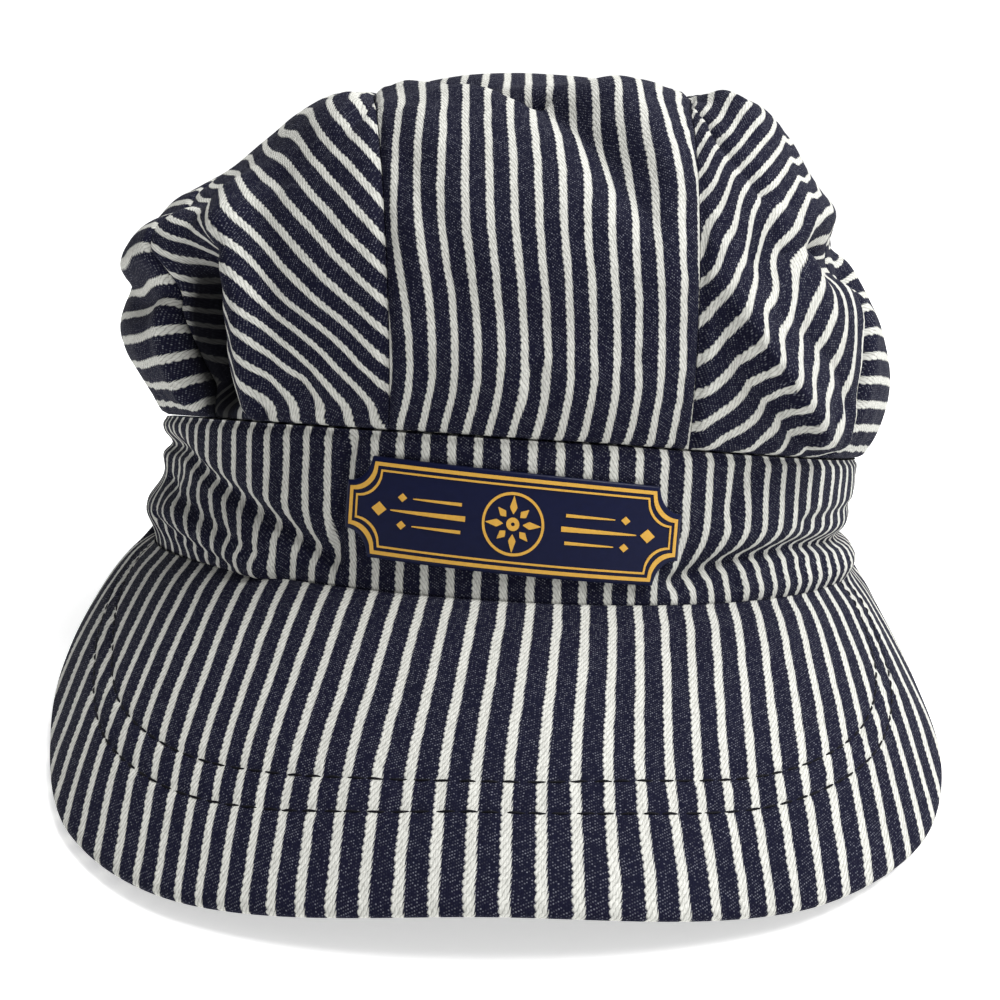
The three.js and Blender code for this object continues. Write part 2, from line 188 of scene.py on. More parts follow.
def addMesh(name, points, faces, material, attributes=None):
    # points are (n, 3) in millimetres about the drawing's centre
    mesh = bpy.data.meshes.new(name)
    mesh.vertices.add(len(points))
    mesh.vertices.foreach_set("co", ((points + toMiddle) * mm).astype(np.float32).ravel())
    faces = [np.asarray(face) for face in faces]
    starts = np.cumsum([0] + [len(face) for face in faces]).astype(np.int32)
    mesh.loops.add(int(starts[-1]))
    mesh.loops.foreach_set("vertex_index", np.concatenate(faces).astype(np.int32))
    mesh.polygons.add(len(faces))
    mesh.polygons.foreach_set("loop_start", starts[:-1])
    mesh.update(calc_edges=True)
    mesh.validate()
    for key, values in (attributes or {}).items():
        kind, field = ("FLOAT_VECTOR", "vector") if values.ndim == 2 else ("FLOAT", "value")
        layer = mesh.attributes.new(key, kind, "POINT")
        layer.data.foreach_set(field, values.astype(np.float32).ravel())
    mesh.materials.append(material)
    piece = bpy.data.objects.new(name, mesh)
    bpy.context.collection.objects.link(piece)
    mesh.shade_smooth()
    return piece


def finishPiece(piece, slot, *nodes):
    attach(piece, "root")
    if nodes:
        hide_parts(*nodes)
    return piece


def gridFaces(rows, columns, first, flip, wrap=False):
    # quads over a grid whose points are numbered row by row from first
    i, j = np.meshgrid(np.arange(rows if wrap else rows - 1), np.arange(columns - 1), indexing="ij")
    a = first + i * columns + j
    b = first + ((i + 1) % rows) * columns + j
    quads = np.stack([a, b, b + 1, a + 1], -1).reshape(-1, 4)
    return quads[:, ::-1] if flip else quads


def rimFaces(outerLine, innerLine, flip):
    # quads that close the edge between two lines of points
    quads = np.stack([outerLine[:-1], innerLine[:-1], innerLine[1:], outerLine[1:]], -1)
    return quads[:, ::-1] if flip else quads


def lengths(grid, axis):
    # how far each point lies along its own line of the grid
    steps = np.linalg.norm(np.diff(grid, axis=axis), axis=-1)
    zero = np.zeros_like(np.take(steps, [0], axis=axis))
    return np.concatenate([zero, np.cumsum(steps, axis=axis)], axis=axis)


def wall(name, middle, normals, thickness, flip, material, attributes):
    # a wall of even thickness over a grid of middle points, closed round its border
    rows, columns = middle.shape[:2]
    count = rows * columns
    half = normals * np.broadcast_to(thickness, (rows, columns))[..., None] / 2
    points = np.concatenate([(middle + half).reshape(-1, 3), (middle - half).reshape(-1, 3)])
    ids = np.arange(count).reshape(rows, columns)
    faces = [gridFaces(rows, columns, 0, flip), gridFaces(rows, columns, count, not flip)]
    for line, turned in ((ids[:, 0], True), (ids[:, -1], False), (ids[0], False), (ids[-1], True)):
        faces.append(rimFaces(line, line + count, turned == flip))
    doubled = {key: np.concatenate([values.reshape((count,) + values.shape[2:])] * 2)
               for key, values in attributes.items()}
    return addMesh(name, points, np.concatenate(faces), material, doubled)


def edgeSteps(count, finePart, fine=6):
    # shares from 0 to 1, with a few closer together near both ends
    middle = np.linspace(finePart, 1 - finePart, count)
    end = np.linspace(0, finePart, fine, endpoint=False)
    return np.concatenate([end, middle, 1 - end[::-1]])


# Materials

denim = {
    "pitch": 4.76, "whiteWidth": 1.5, "edge": 0.11,  # the stripes, in millimetres
    "yarn": 0.34, "pick": 0.48, "twill": 1.12, "slant": 1.6,  # the weave
    "drift": 0.5, "driftScale": 0.22,  # how far the stripes wander
    "jitter": 0.9, "jitterScale": 1.1, "steps": 0.3,  # how uneven the yarns and the edges are
    "patches": 0.35, "patchScale": 0.06, "threads": 0.45, "threadScale": 1.6,  # navy's tones
    "flecks": 0.5, "fleckAcross": (0.44, 0.08), "fleckAlong": (0.3, 0.06),
    "ridgeShade": 0.5, "ridgeEdge": (0.24, 0.5), "yarnShade": 0.2, "yarnEdge": (0.3, 0.5),
    # the picks' random tone, and how far the painted shade in the left side's pocket darkens the
    # cloth
    "pickShade": 0.32, "paintedShadeAmount": 0.95,
    "relief": 0.4, "reliefDepth": 0.0002, "whiteProud": 0.4,
    "smoothest": 0.82, "roughest": 0.95, "shine": 0.07,
    "navy": (0.003, 0.0032, 0.01), "navyLight": (0.009, 0.0095, 0.026),
    "white": (0.61, 0.61, 0.57), "whiteShade": (0.23, 0.23, 0.21),
    # the flecks' colour, and the near black of the painted shade in the left side's pocket
    "fleck": (0.3, 0.31, 0.36), "paintedShade": (0.0015, 0.0016, 0.003),
}


def nodeKit(owner):
    owner.use_nodes = True
    tree = owner.node_tree
    tree.nodes.clear()

    def node(kind, inputs=None, **settings):
        made = tree.nodes.new(kind)
        for key, value in settings.items():
            setattr(made, key, value)
        for key, value in (inputs or {}).items():
            if isinstance(value, bpy.types.NodeSocket):
                tree.links.new(value, made.inputs[key])
            else:
                made.inputs[key].default_value = value
        return made

    def calc(operation, *values):
        return node("ShaderNodeMath", dict(enumerate(values)), operation=operation).outputs[0]

    def ramp(value, low, high, atLow=0.0, atHigh=1.0):
        made = node("ShaderNodeMapRange",
                    {"Value": value, "From Min": low, "From Max": high,
                     "To Min": atLow, "To Max": atHigh}, interpolation_type="SMOOTHSTEP")
        return made.outputs["Result"]

    def mix(factor, a, b):
        made = node("ShaderNodeMix", {"Factor": factor, "A": a, "B": b}, data_type="RGBA")
        return made.outputs["Result"]

    def noise(place, scale, detail):
        inputs = {"Vector": place, "Scale": scale, "Detail": detail}
        return node("ShaderNodeTexNoise", inputs).outputs["Fac"]
    return node, calc, ramp, mix, noise


def denimMaterial(name):
    material = bpy.data.materials.new(name)
    node, calc, ramp, mix, noise = nodeKit(material)

    def fromMid(value):
        # how far a count is from the middle of its own unit
        return calc("ABSOLUTE", calc("SUBTRACT", calc("FRACT", value), 0.5))
    cloth = node("ShaderNodeAttribute", attribute_name="cloth").outputs["Vector"]
    split = node("ShaderNodeSeparateXYZ", {0: cloth})
    across, along = split.outputs[0], split.outputs[1]
    wobble = calc("SUBTRACT", noise(cloth, denim["driftScale"], 1.0), 0.5)
    a = calc("ADD", across, calc("MULTIPLY", wobble, denim["drift"]))

    # the twill: yarns side by side across the stripes, picks shifted by a third from one yarn
    # to the next, and slanting ridges over them
    uneven = calc("SUBTRACT", noise(cloth, denim["jitterScale"], 1.0), 0.5)
    jitter = calc("MULTIPLY", uneven, denim["jitter"])
    columnCount = calc("ADD", calc("DIVIDE", a, denim["yarn"]), jitter)
    slanted = calc("ADD", along, calc("MULTIPLY", a, denim["slant"]))
    ridgeCount = calc("ADD", calc("DIVIDE", slanted, denim["twill"]), jitter)
    shifted = calc("MULTIPLY", calc("FLOOR", columnCount), 1 / 3)
    pickCount = calc("ADD", calc("DIVIDE", along, denim["pick"]), shifted)
    inColumn, inRidge, inPick = fromMid(columnCount), fromMid(ridgeCount), fromMid(pickCount)
    cell = node("ShaderNodeCombineXYZ",
                {"X": calc("FLOOR", columnCount), "Y": calc("FLOOR", pickCount)})
    cellNoise = node("ShaderNodeTexWhiteNoise", {"Vector": cell.outputs[0]}, noise_dimensions="2D")
    random = cellNoise.outputs["Value"]
    dot = calc("MULTIPLY", ramp(inColumn, *denim["fleckAcross"]),
               ramp(inPick, *denim["fleckAlong"]))

    # the white stripe, whose edges are stepped by the ridges
    place = calc("ADD", calc("DIVIDE", a, denim["pitch"]), 0.5)
    fromStripe = calc("MULTIPLY", fromMid(place), denim["pitch"])
    step = calc("SUBTRACT", calc("FRACT", ridgeCount), 0.5)
    fromStripe = calc("ADD", fromStripe, calc("MULTIPLY", step, denim["steps"]))
    white = ramp(fromStripe, denim["whiteWidth"] / 2 + denim["edge"],
                 denim["whiteWidth"] / 2 - denim["edge"])

    # colours
    thread = noise(cloth, denim["threadScale"], 2.0)
    patches = calc("MULTIPLY", noise(cloth, denim["patchScale"], 3.0), denim["patches"])
    navyMix = calc("ADD", patches, calc("MULTIPLY", thread, denim["threads"]))
    navy = mix(navyMix, (*denim["navy"], 1), (*denim["navyLight"], 1))
    fleckOn = calc("MULTIPLY", dot, calc("POWER", random, 2.0))
    navy = mix(calc("MULTIPLY", fleckOn, denim["flecks"]), navy, (*denim["fleck"], 1))
    rope = calc("MULTIPLY", ramp(inRidge, *denim["ridgeEdge"]), denim["ridgeShade"])
    rope = calc("ADD", rope, calc("MULTIPLY", random, denim["pickShade"]))
    yarnSide = calc("MULTIPLY", ramp(inColumn, *denim["yarnEdge"]), denim["yarnShade"])
    rope = calc("ADD", rope, yarnSide)
    dyed = mix(white, navy, mix(rope, (*denim["white"], 1), (*denim["whiteShade"], 1)))
    # painted shade: the bottom of the left side's pocket is mixed towards near black in place of
    # its shadow
    paintedShade = node("ShaderNodeAttribute", attribute_name="paintedShade").outputs["Fac"]
    colour = mix(calc("MULTIPLY", paintedShade, denim["paintedShadeAmount"]), dyed, (*denim["paintedShade"], 1))

    # relief: rounded yarns and ridges, with the white yarns a little proud
    relief = calc("MULTIPLY", calc("SUBTRACT", 0.5, inColumn), 0.5)
    relief = calc("ADD", calc("SUBTRACT", 0.5, inRidge), relief)
    relief = calc("ADD", relief, calc("MULTIPLY", white, denim["whiteProud"]))
    bump = node("ShaderNodeBump", {"Strength": denim["relief"], "Distance": denim["reliefDepth"],
                                   "Height": relief})
    rough = ramp(thread, 0.2, 0.8, denim["smoothest"], denim["roughest"])
    shader = node("ShaderNodeBsdfPrincipled",
                  {"Base Color": colour, "Normal": bump.outputs["Normal"], "Roughness": rough,
                   "Specular IOR Level": denim["shine"]})
    node("ShaderNodeOutputMaterial", {0: shader.outputs[0]})
    return material


def plainMaterial(name, colour, roughness, shine, grain, grainScale):
    # one colour with a fine grain in its tone and relief
    material = bpy.data.materials.new(name)
    node, _, _, mix, noise = nodeKit(material)
    specks = noise(node("ShaderNodeTexCoord").outputs["Object"], grainScale, 3.0)
    dark = tuple(c * (1 - grain) for c in colour)
    light = tuple(min(c * (1 + grain), 1) for c in colour)
    bump = node("ShaderNodeBump", {"Strength": 0.3, "Distance": 0.0001, "Height": specks})
    shader = node("ShaderNodeBsdfPrincipled",
                  {"Base Color": mix(specks, (*dark, 1), (*light, 1)),
                   "Normal": bump.outputs["Normal"], "Roughness": roughness,
                   "Specular IOR Level": shine})
    node("ShaderNodeOutputMaterial", {0: shader.outputs[0]})
    return material


stripDenim = denimMaterial("stripDenim")
sideDenim = denimMaterial("sideDenim")
bandDenim = denimMaterial("bandDenim")
peakDenim = denimMaterial("peakDenim")
badgeVinyl = plainMaterial("badgeVinyl", (0.0035, 0.0055, 0.028), roughness=0.36, shine=0.12,
                           grain=0.2, grainScale=900)
badgeGold = plainMaterial("badgeGold", (0.58, 0.32, 0.045), roughness=0.42, shine=0.3,
                          grain=0.15, grainScale=1400)
blackThread = plainMaterial("blackThread", (0.004, 0.004, 0.006), roughness=0.7, shine=0.1,
                            grain=0.4, grainScale=4000)
print("materials made")


# The crown

crown = {"thickness": 1.6, "ringLength": 270, "wallHeight": 95, "arch": 3.5, "archFrom": 0.35,
         "seamInset": 0.1, "bandInset": 0.3, "rollDepth": 0.9, "rollWidth": 1.1, "sewnFlat": 1.5}
# The strip's lengths run from 0 at the front of the band to 1 and 2 on top and 3 at the back.
strip = {
    "width": 60, "splitAt": 1.45, "columns": 84, "rows": 190, "fineAcross": 0.035,
    "fineAlong": 0.015, "heldAtSeams": (0.12, 0.12), "heldAtBand": 0.1,
    "ripples": [(4, 9, 3, 0.25), (9, 20, 4, 0.12)], "ripplesHeld": (0.1, 0.1),
    "pucker": {"rate": 95, "drift": 3, "driftRate": 6, "row": 0, "seed": 21, "height": 0.16,
               "fade": 3.5},
    "gather": {"rate": 44, "drift": 3, "driftRate": 5, "row": 0, "seed": 22, "height": 0.3,
               "fade": 6},
}
sidePiece = {
    "seamLow": 0.2, "seamRise": 0.25, "columns": 110, "rows": 130, "fineAcross": 0.02,
    "fineUp": 0.015, "heldAtSeams": (0.045, 0.05), "heldUp": (0.07, 0.1),
    "ripples": [(30, 10, 7, 0.25), (60, 22, 8, 0.12)], "ripplesHeld": (0.05, 0.05),
    "ripplesUp": (0.04, 0.05), "picks": (0.75, 0.6),
    "pucker": {"rate": 0.95, "drift": 3, "driftRate": 1 / 15, "row": 0, "seed": 23,
               "height": 0.2, "fade": 4},
    "gather": {"rate": 0.8, "drift": 2, "driftRate": 1 / 14, "row": 1, "seed": 5,
               "height": 0.5, "fade": 8},
}
# Each side's walls, from the front of the strip (station 0) to its back (station 1): where they
# stand on the band, where they end on top, and how far they swell out and up in between.
leftSections = {
    "station": [0, 0.2, 0.4, 0.6, 0.8, 1],
    "bandAngle": [-15, -45, -75, -105, -135, -163],
    "topX": [-23, -25, -25, -25, -24, -22],
    "topY": [-55, -36, -8, 20, 44, 64],
    "topZ": [112, 115, 116, 116, 112, 105],
    "outLow": [11, 16, 15, 20, 20, 14],
    "upLow": [24, 27, 36, 24, 18, 16],
    "outHigh": [14, 23, 46, 50, 38, 20],
    "upHigh": [-4, -8, -22, -16, -12, -12],
}
rightSections = {
    "station": [0, 0.2, 0.4, 0.6, 0.8, 1],
    "bandAngle": [23.5, 50, 78, 105, 135, 160],
    "topX": [33, 35, 36, 37, 36, 35],
    "topY": [-52, -36, -8, 20, 44, 64],
    "topZ": [112, 115, 116, 116, 112, 105],
    "outLow": [11, 18, 21, 29, 24, 14],
    "upLow": [24, 26, 22, 10, 12, 16],
    "outHigh": [16, 20, 22, 42, 34, 20],
    "upHigh": [-4, -5, -9, -18, -14, -12],
}
# A fold's points are (station, share of the wall's height) on a side, (share across, length) on
# the strip and (degrees, share of the height) on the band.
leftFolds = [
    fold(-8, 7, 7, (0.175, 0.02), (0.18, 0.2), (0.185, 0.36)),
    fold(2.4, 6, 6, (0.135, 0.05), (0.12, 0.2), (0.135, 0.38), (0.19, 0.55)),
    fold(4, 12, 12, (0.25, 0.44), (0.33, 0.48)),
    fold(3, 9, 9, (0.28, 0.16), (0.4, 0.2)),
    fold(-4, 9, 9, (0.62, 0.1), (0.66, 0.45)),
    fold(-3, 10, 10, (0.84, 0.08), (0.8, 0.5)),
]
rightFolds = [
    fold(3.2, 9, 3.5, (0, 0.4), (0.045, 0.26), (0.09, 0.17), (0.13, 0.1), (0.19, 0.04)),
    fold(-5, 6, 6, (0.17, 0.47), (0.32, 0.45)),
    fold(-1.6, 5, 5, (0.06, 0.44), (0.13, 0.55)),
    fold(-4, 9, 9, (0.6, 0.1), (0.64, 0.45)),
    fold(-3, 10, 10, (0.84, 0.08), (0.8, 0.5)),
]
stripFolds = [
    fold(-1.6, 6, 9, (0.45, 0.95), (0.8, 0.62)),
    fold(2, 14, 14, (0.1, 0.45), (0.9, 0.5)),
    fold(-2, 8, 8, (0.3, 1.12), (0.9, 1.2)),
    fold(-3, 12, 12, (0.2, 2.5), (0.85, 2.42)),
]

# Painted shade, which darkens the cloth's colour at the bottom of the left side's deep pocket
# in place of its shadow, and creases that are sharper than the folds and lie on the same lines.
leftPocketShade = [
    fold(1.6, 8, 3.2, (0.196, 0.02), (0.199, 0.2), (0.203, 0.33)),
]
leftCreases = [
    fold(-13, 6.5, 3, (0.178, 0.02), (0.18, 0.2), (0.183, 0.36)),
    fold(1.8, 3.2, 2.4, (0.118, 0.04), (0.112, 0.18), (0.115, 0.29), (0.14, 0.4), (0.185, 0.44)),
    fold(3.2, 7, 2.8, (0.16, 0.44), (0.2, 0.42), (0.24, 0.38), (0.32, 0.35)),
    fold(-1, 2.6, 3.6, (0.2, 0.34), (0.24, 0.28), (0.3, 0.26)),
    fold(2.6, 2.4, 6, (0.222, 0.04), (0.224, 0.13), (0.228, 0.24)),
    fold(-1.4, 5, 3, (0.22, 0.52), (0.3, 0.49), (0.38, 0.49)),
    fold(2.4, 13, 13, (0.1, 0.84), (0.26, 0.86)),
    fold(-0.9, 2.4, 2.4, (0.07, 0.12), (0.05, 0.05)),
    fold(-0.7, 4, 4, (0.03, 0.93), (0.07, 0.72), (0.13, 0.6)),
]
rightCreases = [
    fold(1.5, 3.6, 0.8, (0, 0.44), (0.01, 0.4), (0.025, 0.345), (0.034, 0.305), (0.045, 0.265),
         (0.06, 0.222), (0.074, 0.2), (0.09, 0.16), (0.105, 0.135), (0.128, 0.095), (0.15, 0.04)),
    fold(-0.9, 1.2, 3.2, (0, 0.37), (0.02, 0.29), (0.05, 0.18), (0.08, 0.125), (0.115, 0.06)),
    fold(-6, 2.4, 2.8, (0.2, 0.03), (0.206, 0.15), (0.222, 0.3), (0.236, 0.38)),
    fold(-1.2, 1.8, 3, (0.1, 0.47), (0.15, 0.495), (0.2, 0.51)),
    fold(-2.2, 2.8, 3.4, (0.18, 0.505), (0.25, 0.518), (0.32, 0.53), (0.47, 0.552), (0.6, 0.56)),
    fold(1.4, 5, 3, (0.1, 0.535), (0.2, 0.56), (0.35, 0.585), (0.5, 0.6)),
    fold(-1.5, 3.4, 3, (0.035, 0.95), (0.05, 0.78), (0.085, 0.62)),
    fold(-0.9, 2.6, 2.6, (0.1, 0.29), (0.14, 0.23), (0.17, 0.14)),
    fold(3.8, 15, 12, (0.14, 0.84), (0.22, 0.8), (0.36, 0.74)),
]
stripCreases = [
    fold(-2.4, 4, 1.5, (0.06, 1.28), (0.24, 1.19), (0.33, 1.08), (0.42, 0.99), (0.5, 0.95)),
    fold(-1.5, 4, 4.5, (0.5, 0.94), (0.62, 0.78), (0.68, 0.69), (0.73, 0.6), (0.82, 0.52)),
    fold(1, 2.6, 5, (0.1, 1.15), (0.3, 1), (0.43, 0.9)),
    fold(2.2, 7, 6, (0.74, 0.92), (0.86, 0.78), (0.92, 0.66)),
    fold(0.9, 5, 5, (0.12, 0.85), (0.16, 0.7)),
    fold(2, 8, 8, (0.8, 1.02), (0.88, 1.2)),
    fold(-2, 1.2, 2.4, (0.435, 0), (0.45, 0.09), (0.46, 0.17)),
    fold(1.1, 2, 1.2, (0.425, 0.02), (0.432, 0.13)),
    fold(-0.9, 5, 5, (0.06, 0.62), (0.16, 0.48), (0.2, 0.3)),
    fold(-1, 6, 6, (0.3, 0.3), (0.6, 0.24), (0.95, 0.3)),
    fold(-0.8, 2.4, 2.4, (0.62, 0.03), (0.66, 0.14), (0.78, 0.22)),
]

# How many stripes lie between the front panel's left seam, or a side's front seam, and each
# point. On the strip "rows" are lengths along it; on a side they are millimetres up the wall,
# and the columns are millimetres back from its front seam.
stripCloth = {
    "across": [0, 1],
    "rows": [[0, 0.5, 14.1], [0.14, 0, 13.85], [0.3, 0.15, 13.8], [0.48, 0.5, 14], [0.62, 0.45, 14],
             [0.8, 0.05, 14.55], [1, -0.3, 14.7], [3, 0, 14]],
}
leftCloth = {
    "seamShift": 2.9, "foldHeight": 0, "foldSlope": 0,
    "across": [0, 10, 20, 30, 42, 56],
    "rows": [[0, 9.3, 11.1, 12.9, 14.8, 17.3, 20],
             [6, 8.9, 10.9, 12.9, 15.2, 18, 20.5],
             [14, 7.2, 9.3, 11.2, 14, 16.8, 18],
             [24, 5, 6.7, 8.5, 11.2, 14, 14.3],
             [36, 2.7, 4.5, 6.1, 7.9, 10.1, 11.3],
             [50, 0.7, 2.3, 3.9, 5.4, 6.7, 8.4],
             [66, -1.2, 0, 1.6, 2.7, 3.9, 5.8],
             [100, -5, -3.9, -2.8, -2, -1.1, 0.4]],
}
# The right side's rows count from its long slanting fold, which starts 27 mm up.
rightCloth = {
    "seamShift": 3.6, "foldHeight": 27, "foldSlope": 0.75,
    "across": [0, 8, 16, 25, 36, 50],
    "rows": [[-24, 11.7, 13.6, 15.3, 17.2, 19.3, 21.8],
             [-10, 9.4, 11.5, 13.4, 15.5, 18, 20.5],
             [-4, 8.5, 10.8, 13, 15, 17.3, 20],
             [0, 7.9, 10.3, 12.5, 14.6, 16.8, 19.7],
             [6, 6.8, 9.9, 11.9, 14.2, 16, 19.3],
             [14, 5.9, 8.7, 10.9, 13.2, 15.6, 18.9],
             [26, 3.4, 7.5, 10.1, 12, 14.6, 18.6],
             [40, 0.5, 4.3, 7.4, 10.4, 14.1, 16.9],
             [56, -2.8, 0.6, 3.6, 7, 10.3, 14.2]],
}
sideScale = (crown["ringLength"], crown["wallHeight"])
stripScale = (strip["width"], crown["wallHeight"])
leftSide = {"sections": leftSections, "folds": leftFolds, "creases": leftCreases,
            "pocketShade": leftPocketShade, "cloth": leftCloth, "mirror": -1}
rightSide = {"sections": rightSections, "folds": rightFolds, "creases": rightCreases,
             "pocketShade": [], "cloth": rightCloth, "mirror": 1}


def plainSide(sections, station, share):
    def value(column):
        return valueAt(sections, column, station)
    low = bandTopPoint(value("bandAngle"))
    high = np.stack([value("topX"), value("topY"), value("topZ")], -1)
    out = unit((low - high) * [1, 1, 0])
    lowPull = low + out * value("outLow")[..., None] + up * value("upLow")[..., None]
    highPull = high + out * value("outHigh")[..., None] + up * value("upHigh")[..., None]
    t = share[..., None]
    return ((1 - t)**3 * low + 3 * (1 - t)**2 * t * lowPull
            + 3 * (1 - t) * t**2 * highPull + t**3 * high)


def plainStrip(across, along):
    station = np.clip(along - 1, 0, 1)
    share = np.minimum(np.minimum(along, 1), 3 - along)
    left = plainSide(leftSections, station, share)
    right = plainSide(rightSections, station, share)
    return left + (right - left) * across[..., None]


def slopeNormal(surface, a, b, aMax, bMax):
    # directions square to a surface
    step = slopeStep
    alongA = surface(np.minimum(a + step, aMax), b) - surface(np.maximum(a - step, 0), b)
    alongB = surface(a, np.minimum(b + step, bMax)) - surface(a, np.maximum(b - step, 0))
    return unit(np.cross(alongA, alongB))


def stripPoint(across, along):
    p = plainStrip(across, along)
    atBack = (along > 1.5).astype(float)
    toBand = np.minimum(along, 3 - along)
    left = valueAt(leftSections, "bandAngle", atBack) + atBack * 360
    right = valueAt(rightSections, "bandAngle", atBack)
    bandBow = bandTopPoint(left + (right - left) * across) - plainStrip(across, atBack * 3)
    half = across * 0 + 0.5
    run = (plainStrip(half, np.minimum(along + slopeStep, 3))
           - plainStrip(half, np.maximum(along - slopeStep, 0)))
    outward = unit(np.stack([0 * run[..., 0], -run[..., 2], run[..., 1]], -1))
    held = within(across, *strip["heldAtSeams"]) * smooth(toBand / strip["heldAtBand"])
    folded = foldHeight(stripFolds + stripCreases, stripScale, across, along) * held
    arch = crown["arch"] * 4 * across * (1 - across) + folded
    free = smooth(toBand / crown["archFrom"])
    return p + bandBow * (1 - free)[..., None] + outward * (arch * free)[..., None]


def sidePoint(side, folds, station, share):
    def plain(a, b):
        return plainSide(side["sections"], a, b)
    outward = side["mirror"] * slopeNormal(plain, station, share, 1, 1)
    held = within(station, *sidePiece["heldAtSeams"]) * within(share, *sidePiece["heldUp"])
    height = held * foldHeight(folds, sideScale, station, share)
    return plain(station, share) + outward * height[..., None]


def rolledIn(middle, normals, insets):
    # draws the borders in from their seams and rolls the cloth down into them
    a = lengths(middle, 0)
    b = lengths(middle, 1)
    fromSeam = [a, a[-1:] - a, b, b[:, -1:] - b]
    roll = sum(np.exp(-((d / crown["rollWidth"]) ** 2))
               for d, inset in zip(fromSeam, insets) if inset)
    moved = middle - normals * (crown["rollDepth"] * np.minimum(roll, 1))[..., None]
    rows, columns = middle.shape[:2]
    i, j = np.meshgrid(np.arange(rows), np.arange(columns), indexing="ij")
    lineInset = np.where(i == 0, insets[0], np.where(i == rows - 1, insets[1], 0))
    columnInset = np.where(j == 0, insets[2], np.where(j == columns - 1, insets[3], 0))
    towards = middle[np.clip(i, 1, rows - 2), np.clip(j, 1, columns - 2)]
    return moved + unit(towards - middle) * np.hypot(lineInset, columnInset)[..., None]


def bandTurn(p):
    x = (p[..., 0] - rim["centreX"]) / rim["halfWidth"]
    y = (p[..., 1] - band["lean"]) / rim["halfDepth"]
    return np.degrees(np.arctan2(x, -y))


def makeStripPiece(name, start, end):
    steps = start + (end - start) * edgeSteps(strip["rows"], strip["fineAlong"])
    across, along = np.meshgrid(edgeSteps(strip["columns"], strip["fineAcross"]), steps,
                                indexing="ij")
    middle = stripPoint(across, along)
    normals = slopeNormal(stripPoint, across, along, 1, 3)
    atBand = (along <= 0) | (along >= 3)
    normals = np.where(atBand[..., None], bandOutward(bandTurn(middle)), normals)
    length = lengths(middle, 1)
    toSeam = np.minimum(across, 1 - across) * strip["width"]
    toBand = np.minimum(along, 3 - along) * crown["wallHeight"]
    ripple = ripples(strip["ripples"], across, along) * within(across, *strip["ripplesHeld"])
    tuck = tucks(strip["pucker"], along, toSeam) + tucks(strip["gather"], across, toBand)
    held = smooth(toSeam / crown["sewnFlat"]) * smooth(toBand / crown["sewnFlat"])
    middle = middle + normals * (ripple + tuck * held)[..., None]
    insets = [crown["seamInset"], crown["seamInset"],
              crown["bandInset"] if start == 0 else crown["seamInset"],
              crown["bandInset"] if end == 3 else crown["seamInset"]]
    shaped = rolledIn(middle, normals, insets)
    stripes = surfaceThrough(stripCloth, across, along) * denim["pitch"]
    cloth = np.stack([stripes, length, 0 * length], -1)
    piece = wall(name, shaped, normals, crown["thickness"], False, stripDenim, {"cloth": cloth})
    return finishPiece(piece, "crown_denim", name)


def sideSeam(share):
    return sidePiece["seamLow"] + sidePiece["seamRise"] * share**2


def makeSidePiece(name, side, isFront):
    mirror = side["mirror"]
    a, share = np.meshgrid(edgeSteps(sidePiece["columns"], sidePiece["fineAcross"]),
                           edgeSteps(sidePiece["rows"], sidePiece["fineUp"]), indexing="ij")
    station = a * sideSeam(share) if isFront else sideSeam(share) + (1 - sideSeam(share)) * a
    plain = sidePoint(side, side["folds"], station, share)
    height, fromFront = lengths(plain, 1), lengths(plain, 0)

    def creased(s, t):
        return sidePoint(side, side["folds"] + side["creases"], s, t)
    middle = creased(station, share)
    normals = mirror * slopeNormal(creased, station, share, 1, 1)
    # along its seams the wall stands square to the piece that it is sewn to
    seamAcross = np.full(share.shape, 0.0 if mirror < 0 else 1.0)
    for edge, along in ((share >= 1, 1 + station), (station <= 0, share),
                        (station >= 1, 3 - share)):
        seamNormals = slopeNormal(stripPoint, seamAcross, along, 1, 3)
        normals = np.where(edge[..., None], seamNormals, normals)
    bandNormals = bandOutward(valueAt(side["sections"], "bandAngle", station))
    normals = np.where((share <= 0)[..., None], bandNormals, normals)
    toSeam = np.minimum(fromFront, fromFront[-1:] - fromFront)
    gather = tucks(sidePiece["gather"], fromFront, height) * smooth(height / crown["sewnFlat"])
    tuck = gather + tucks(sidePiece["pucker"], height, toSeam)
    ripple = ripples(sidePiece["ripples"], station, share)
    held = within(a, *sidePiece["ripplesHeld"]) * within(share, *sidePiece["ripplesUp"])
    middle = middle + normals * ((tuck + ripple) * held)[..., None]
    insets = [crown["seamInset"], crown["seamInset"], crown["bandInset"], crown["seamInset"]]
    shaped = rolledIn(middle, normals, insets)
    if isFront:
        lay = side["cloth"]
        # the tables count from a line that lies a little behind the seam near the band
        back = fromFront - lay["seamShift"] * (1 - share)**2 * (1 + 2 * share)
        rows = height - (lay["foldHeight"] - lay["foldSlope"] * back)
        stripes = surfaceThrough(lay, back, rows) * denim["pitch"]
        picks = sidePiece["picks"][0] * height + sidePiece["picks"][1] * fromFront
    else:
        stripes, picks = height + denim["pitch"] / 4, fromFront
    cloth = np.stack([stripes, picks, 0 * height], -1)
    # painted shade: how far the colour is darkened at the bottom of the left side's pocket, in
    # place of its shadow
    paintedShade = np.minimum(foldHeight(side["pocketShade"], sideScale, station, share), 1)
    piece = wall(name, shaped, normals, crown["thickness"], mirror < 0, sideDenim,
                 {"cloth": cloth, "paintedShade": paintedShade})
    return finishPiece(piece, "crown_denim", name)


makeStripPiece("crown_front_panel", 0, strip["splitAt"])
makeStripPiece("crown_back_panel", strip["splitAt"], 3)
makeSidePiece("crown_left_front_panel", leftSide, True)
makeSidePiece("crown_left_back_panel", leftSide, False)
makeSidePiece("crown_right_front_panel", rightSide, True)
makeSidePiece("crown_right_back_panel", rightSide, False)
print("crown made")


# The band

